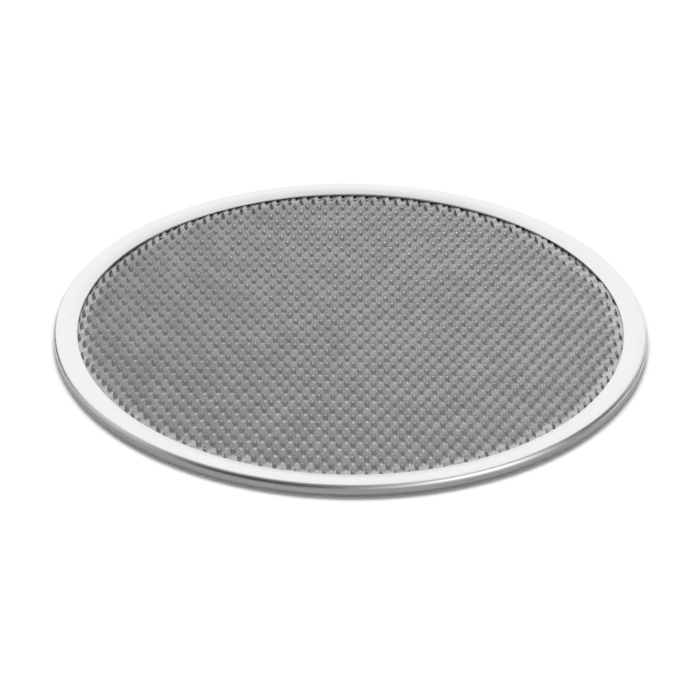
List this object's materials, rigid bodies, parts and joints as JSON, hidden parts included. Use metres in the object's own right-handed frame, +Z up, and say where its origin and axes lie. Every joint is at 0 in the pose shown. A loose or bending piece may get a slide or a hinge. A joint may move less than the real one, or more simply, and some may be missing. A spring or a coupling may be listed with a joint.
{
  "type": "pizza screen",
  "caption": "Round pizza screen: an expanded aluminium mesh disc gripped in the fold of a seamless rim, open to hot air from below and usable either way up.",
  "frame": {"origin": "on the screen's axis, level with the flat underside of the rim", "axes": "+Z up along the screen's axis, +Y along the long way of the mesh's gaps, away from the picture's viewpoint, +X to the right"},
  "size_m": [0.3048, 0.3048, 0.0063],
  "materials": {
    "rim_metal": "satin, with fine rolled streaks along the strip",
    "mesh_metal": "mill finish, slightly duller than the rim"
  },
  "bodies": {
    "root": {"rim": "rim_metal", "mesh_disc": "mesh_metal"}
  },
  "joints": []
}
